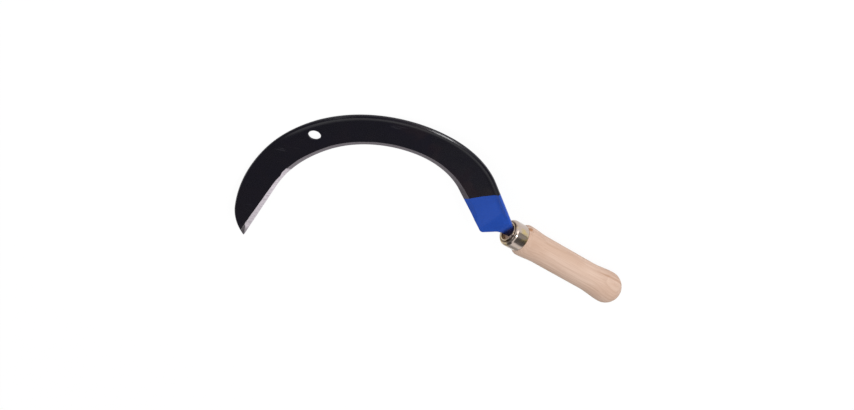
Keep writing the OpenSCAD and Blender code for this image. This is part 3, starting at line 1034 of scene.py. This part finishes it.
def spin_tree():
    """Geometry tree that spins a profile, x along the axis and y the radius, into a closed skin."""
    tree, bench, given, result = new_group(
        "spun_profile",
        [("Geometry", "NodeSocketGeometry", None), ("Segments", "NodeSocketInt", SEGMENTS),
         ("Crease Angle", "NodeSocketFloat", CREASE), ("Finish", "NodeSocketMaterial", None)],
        [("Geometry", "NodeSocketGeometry")],
        kind="GeometryNodeTree",
    )
    size = bench.add("GeometryNodeAttributeDomainSize", {"Geometry": given["Geometry"]})
    seam = bench.maths("ADD", given["Segments"], 1.0)
    grid = bench.add("GeometryNodeMeshGrid", {
        "Size X": 1.0, "Size Y": 1.0, "Vertices X": size.outputs["Point Count"], "Vertices Y": seam,
    })
    index = bench.add("GeometryNodeInputIndex").outputs[0]
    row = bench.maths("FLOOR", bench.maths("DIVIDE", bench.maths("ADD", index, 0.5), seam))
    step = bench.maths("SUBTRACT", index, bench.product(row, seam))
    angle = bench.product(bench.maths("DIVIDE", step, given["Segments"]), 2 * math.pi)
    position = bench.add("GeometryNodeInputPosition").outputs[0]
    sample = bench.add(
        "GeometryNodeSampleIndex", {"Geometry": given["Geometry"], "Value": position, "Index": row},
        data_type="FLOAT_VECTOR", domain="POINT",
    )
    profile = bench.parts(sample.outputs[0])
    y = bench.product(profile[1], bench.maths("COSINE", angle))
    z = bench.product(profile[1], bench.maths("SINE", angle))
    target = bench.add("ShaderNodeCombineXYZ", {0: profile[0], 1: y, 2: z}).outputs[0]
    fold = bench.add("GeometryNodeInputMeshEdgeAngle").outputs["Unsigned Angle"]
    smooth = bench.maths("LESS_THAN", fold, given["Crease Angle"])
    spun = grid.outputs["Mesh"]
    for kind, inputs, settings in (
        ("GeometryNodeSetPosition", {"Position": target}, {}),
        ("GeometryNodeMergeByDistance", {"Distance": SAME_PLACE}, {}),
        ("GeometryNodeSetShadeSmooth", {"Shade Smooth": True}, {"domain": "FACE"}),
        ("GeometryNodeSetShadeSmooth", {"Shade Smooth": smooth}, {"domain": "EDGE"}),
        ("GeometryNodeRealizeInstances", {}, {}),
        ("GeometryNodeSetMaterial", {"Material": given["Finish"]}, {}),
    ):
        spun = bench.add(kind, {"Geometry": spun, **inputs}, **settings).outputs[0]
    bench.wire(result, {"Geometry": spun})
    return tree


spin = spin_tree()


def finish_all(mesh, finish):
    """Gives every face of a mesh the same finish."""
    mesh.materials.clear()
    mesh.materials.append(finish)
    mesh.polygons.foreach_set("material_index", [0] * len(mesh.polygons))


def shown_mesh(made):
    """Mesh of an object with its modifiers worked out."""
    graph = bpy.context.evaluated_depsgraph_get()
    return bpy.data.meshes.new_from_object(made.evaluated_get(graph), depsgraph=graph)


def spun_piece(name, profile, finish):
    """Closed mesh object, in the handle's frame, from a profile of (distance, radius) pairs."""
    line = bpy.data.meshes.new(name + "_profile")
    line.from_pydata([(x, r, 0) for x, r in profile], [(i, i + 1) for i in range(len(profile) - 1)], [])
    carrier = link_object(name + "_carrier", line)
    modifier = carrier.modifiers.new("spin", "NODES")
    modifier.node_group = spin
    inputs = [item for item in spin.interface.items_tree if item.in_out == "INPUT"]
    sockets = {item.name: item.identifier for item in inputs}
    modifier[sockets["Segments"]] = SEGMENTS
    modifier[sockets["Finish"]] = finish
    carrier.update_tag()
    mesh = shown_mesh(carrier)
    mesh.name = name
    bpy.data.objects.remove(carrier)
    made = bmesh.new()
    made.from_mesh(mesh)
    if made.calc_volume(signed=True) < 0:
        bmesh.ops.reverse_faces(made, faces=made.faces)
    made.to_mesh(mesh)
    made.free()
    finish_all(mesh, finish)
    return link_object(name, mesh)


def arc(cx, cr, radius, start, stop, steps):
    """Points on an arc of a profile, angles in degrees from the axis' direction."""
    return [
        (cx + radius * math.cos(math.radians(a)), cr + radius * math.sin(math.radians(a)))
        for a in evenly(start, stop, steps)
    ]


def eased(x0, r0, x1, r1, steps):
    """Points of a soft change of radius, without the first."""
    shares = evenly(0, 1, steps)
    return [(x, r0 + (r1 - r0) * ease(t)) for x, t in zip(evenly(x0, x1, steps), shares)][1:]


# Ferrule: the round of its rear rim and the chamfer inside it
RIM_R = 0.35
RIM_CHAMFER = 0.1
# Rolled lip of the ferrule's mouth: a bead, a groove around it and a collar turned in. The angles are
# those at which the dome meets the groove outside and the collar inside
BEAD_X = 0.35
BEAD_R = 9.05
BEAD_ROUND = 0.65
GROOVE = [(0.8, 9.8), (1.05, 10.05), (1.05, 10.3), (0.85, 10.7)]
GROOVE_ANGLE = 148
COLLAR_ANGLE = 170
COLLAR_END = 4.3
COLLAR_END_R = 7.7
LIP_T = 0.4
# Handle: chamfer and straight end of the spigot, and the round of the step to the ferrule
SPIGOT_CHAMFER = 0.4
SPIGOT_END = 0.2
STEP_ROUND = 0.5


def pressed_ferrule(finish):
    """Ferrule from the bead of its lip over the outside to the rim, and back along the inside."""
    dome = FERRULE_R - MOUTH_R
    inner = FERRULE_R - FERRULE_WALL
    rim = FERRULE_RUN - RIM_R
    profile = arc(BEAD_X, BEAD_R, BEAD_ROUND, 270, 90, steps=16)
    profile += GROOVE
    profile += arc(dome, MOUTH_R, dome, GROOVE_ANGLE, 90, steps=18)
    profile += [(x, FERRULE_R) for x in evenly(dome, rim, steps=6)[1:-1]]
    profile += arc(rim, FERRULE_R - RIM_R, RIM_R, 90, 0, steps=6)
    profile += [(FERRULE_RUN, inner + RIM_CHAMFER), (FERRULE_RUN - RIM_CHAMFER, inner), (dome, inner)]
    profile += arc(dome, MOUTH_R, dome - FERRULE_WALL, 90, COLLAR_ANGLE, steps=14)[1:]
    profile += [(COLLAR_END, COLLAR_END_R + LIP_T), (COLLAR_END, COLLAR_END_R)]
    profile += eased(COLLAR_END, COLLAR_END_R, *profile[0], steps=10)
    return spun_piece("pressed_ferrule", profile, finish)


def turned_handle(finish):
    """Handle from the spigot over the shoulder and the grip to the rounded end."""
    spigot = FERRULE_R - FERRULE_WALL - FERRULE_FIT
    front = FERRULE_R - MOUTH_R
    shoulder_x = FERRULE_RUN + SHOULDER_RUN
    grip_x = shoulder_x + SHOULDER_FALL
    swell_x = butt_x - BUTT_SWELL
    profile = [(front, 0), (front, spigot - SPIGOT_CHAMFER), (front + SPIGOT_CHAMFER, spigot)]
    profile += [(FERRULE_RUN - SPIGOT_END, spigot), (FERRULE_RUN, spigot)]
    profile += arc(FERRULE_RUN + STEP_ROUND, COLLAR_R - STEP_ROUND, STEP_ROUND, 180, 90, steps=5)
    profile += eased(profile[-1][0], COLLAR_R, shoulder_x, SHOULDER_R, steps=14)
    profile += eased(shoulder_x, SHOULDER_R, grip_x, GRIP_R, steps=30)
    profile += [(x, GRIP_R) for x in evenly(grip_x, swell_x, steps=16)[1:]]
    profile += eased(swell_x, GRIP_R, butt_x, BUTT_R, steps=36)
    profile += arc(butt_x, 0, BUTT_R, 90, 0, steps=40)[1:-1] + [(HANDLE_RUN, 0)]
    return spun_piece("turned_handle", profile, finish)


# Sections of the socket along the tang, as shares of its run, and through the neck
SOCKET_PLACES = (0.6, 0.3)
SOCKET_SECTIONS = 12


def socket_cutter(gap):
    """Room for the tang along the handle's axis, with a gap around it."""
    places = [TANG_RUN + gap] + [TANG_RUN * t for t in SOCKET_PLACES]
    places += evenly(neck_end, -NECK_RUN, SOCKET_SECTIONS)
    rows = []
    for x in places:
        up = upper_side(x) + gap
        low = lower_side(x) - gap
        h = half_t(x) + gap
        rows.append([
            (x, up - CHAMFER, h), (x, up, h - CHAMFER), (x, up, -h),
            (x, low, -h), (x, low, h - CHAMFER), (x, low + CHAMFER, h),
        ])
    made = skin(rows)
    mesh = bpy.data.meshes.new("socket_cutter")
    made.to_mesh(mesh)
    made.free()
    return link_object("socket_cutter", mesh)


def cut(piece, cutter):
    """Takes the cutter's room out of a piece."""
    modifier = piece.modifiers.new("cut", "BOOLEAN")
    modifier.operation = "DIFFERENCE"
    modifier.solver = "EXACT"
    modifier.object = cutter
    mesh = shown_mesh(piece)
    finish_all(mesh, piece.data.materials[0])
    piece.modifiers.clear()
    piece.data = mesh
    bpy.data.objects.remove(cutter)


blade = forged_blade()
blade.data.materials.append(blade_finish())
ferrule = pressed_ferrule(ferrule_finish())
ferrule.data.transform(handle_frame)
handle = turned_handle(handle_finish())
cut(handle, socket_cutter(TANG_FIT))
handle.data.transform(handle_frame)

for piece, cad_node in ((blade, "blade"), (ferrule, "ferrule"), (handle, "handle")):
    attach(piece, "root")
    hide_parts(cad_node)

# Floor: half its size and how far it lies under the sickle in metres, its tone, and how much of it
# glows, and how brightly, where it is seen or mirrored
FLOOR_HALF = 4.0
FLOOR_GAP = 0.0002
FLOOR_TONE = colour(246, 246, 246)
FLOOR_GLOW = 0.92
GLOW_LEVEL = 1.03
WHITE = (1, 1, 1, 1)


def studio_floor():
    """Pale floor that keeps the shadow and shows nearly white to the camera and in reflections."""
    mesh = bpy.data.meshes.new("floor")
    corners = [(x * FLOOR_HALF, y * FLOOR_HALF, 0) for x, y in ((-1, -1), (1, -1), (1, 1), (-1, 1))]
    mesh.from_pydata(corners, [], [(0, 1, 2, 3)])
    made = link_object("floor", mesh)
    made.location.z = -FLOOR_GAP
    material = bpy.data.materials.new("floor_paper")
    material.use_nodes = True
    material.node_tree.nodes.clear()
    bench = Bench(material.node_tree)
    path = bench.add("ShaderNodeLightPath").outputs
    mirrored = bench.maths("MAXIMUM", path["Is Glossy Ray"], path["Is Transmission Ray"])
    seen = bench.maths("MAXIMUM", path["Is Camera Ray"], mirrored)
    paper = bench.add("ShaderNodeBsdfDiffuse", {"Color": FLOOR_TONE}).outputs[0]
    glow = bench.add("ShaderNodeEmission", {"Color": WHITE, "Strength": GLOW_LEVEL}).outputs[0]
    mixed = bench.add("ShaderNodeMixShader", {0: bench.product(seen, FLOOR_GLOW), 1: paper, 2: glow})
    bench.add("ShaderNodeOutputMaterial", {"Surface": mixed.outputs[0]})
    mesh.materials.append(material)


def camera_way(right, top, back):
    """Direction on the table from its parts along the camera's right, top and back."""
    return (right * camera_right + top * camera_top + back * camera_back).normalized()


# Parts of the room in reflections: the way to the middle, the inner and outer angle around it in
# degrees, and the brightness, where 1 is white
ROOM_PARTS = [
    (camera_way(-0.35, -0.65, -0.67), 24, 36, 0.42),
    (camera_way(-0.42, -0.9, 0.05), 20, 29, 0.12),
    (camera_way(0.55, -0.78, 0.3), 16, 29, 0.12),
    (camera_way(0.95, -0.12, 0.31), 25, 28, 0.42),
    (camera_way(0.98, 0.1, 0.17), 4, 14, 0.5),
    (camera_way(0.78, -0.6, 0.1), 8, 20, 0.25),
    (camera_way(-0.72, -0.35, 0.6), 34, 44, 0.2),
    (camera_way(-0.62, -0.04, 0.78), 2, 7, 12),
    (camera_way(0.0, -0.05, 1.0), 18, 36, 0.3),
]
SKY_LIGHT = 0.66
# The light comes a little more from this side
LIGHT_WAY = camera_way(0.5, 0.45, 0.74)
LIGHT_SLANT = 0.35
# Lamps: name, direction, distance and size in metres, and power in watts
LAMPS = [
    ("side_lamp", camera_way(0.5, 0.42, 0.76), 1.5, 0.9, 4.0),
    ("top_lamp", camera_way(0.44, -0.2, 0.88), 1.6, 0.3, 6.5),
]


def studio_world():
    """White surroundings, with darker parts and a bright one in reflections, and a nearly even light."""
    world = bpy.data.worlds.new("studio")
    bpy.context.scene.world = world
    world.use_nodes = True
    world.node_tree.nodes.clear()
    bench = Bench(world.node_tree)
    path = bench.add("ShaderNodeLightPath").outputs
    way = bench.add("ShaderNodeTexCoord").outputs["Generated"]
    mirrored = 1.0
    for middle, inner, outer, brightness in ROOM_PARTS:
        facing = bench.vector("DOT_PRODUCT", way, middle, output="Value")
        limits = (math.cos(math.radians(outer)), math.cos(math.radians(inner)))
        mirrored = bench.product(mirrored, bench.ramp(facing, *limits, 1.0, brightness))
    direct = bench.maths("MAXIMUM", path["Is Camera Ray"], path["Is Transmission Ray"])
    slant = bench.vector("DOT_PRODUCT", way, LIGHT_WAY, output="Value")
    sky = bench.maths("MULTIPLY_ADD", slant, SKY_LIGHT * LIGHT_SLANT, SKY_LIGHT)
    light = bench.between(path["Is Glossy Ray"], sky, mirrored)
    strength = bench.between(direct, light, 1.0)
    lit = bench.add("ShaderNodeBackground", {"Color": WHITE, "Strength": strength})
    bench.add("ShaderNodeOutputWorld", {"Surface": lit.outputs[0]})


def soft_lamp(name, way, far, size, power):
    """Square lamp that faces the middle of the table and isn't seen by the camera."""
    data = bpy.data.lights.new(name, "AREA")
    data.shape = "SQUARE"
    data.size = size
    data.energy = power
    lamp = link_object(name, data)
    lamp.matrix_world = Matrix.Translation(way * far) @ way.to_track_quat("Z", "Y").to_matrix().to_4x4()
    lamp.visible_camera = False


studio_floor()
studio_world()
for lamp_values in LAMPS:
    soft_lamp(*lamp_values)

scene = bpy.context.scene
scene.view_settings.view_transform = "Standard"
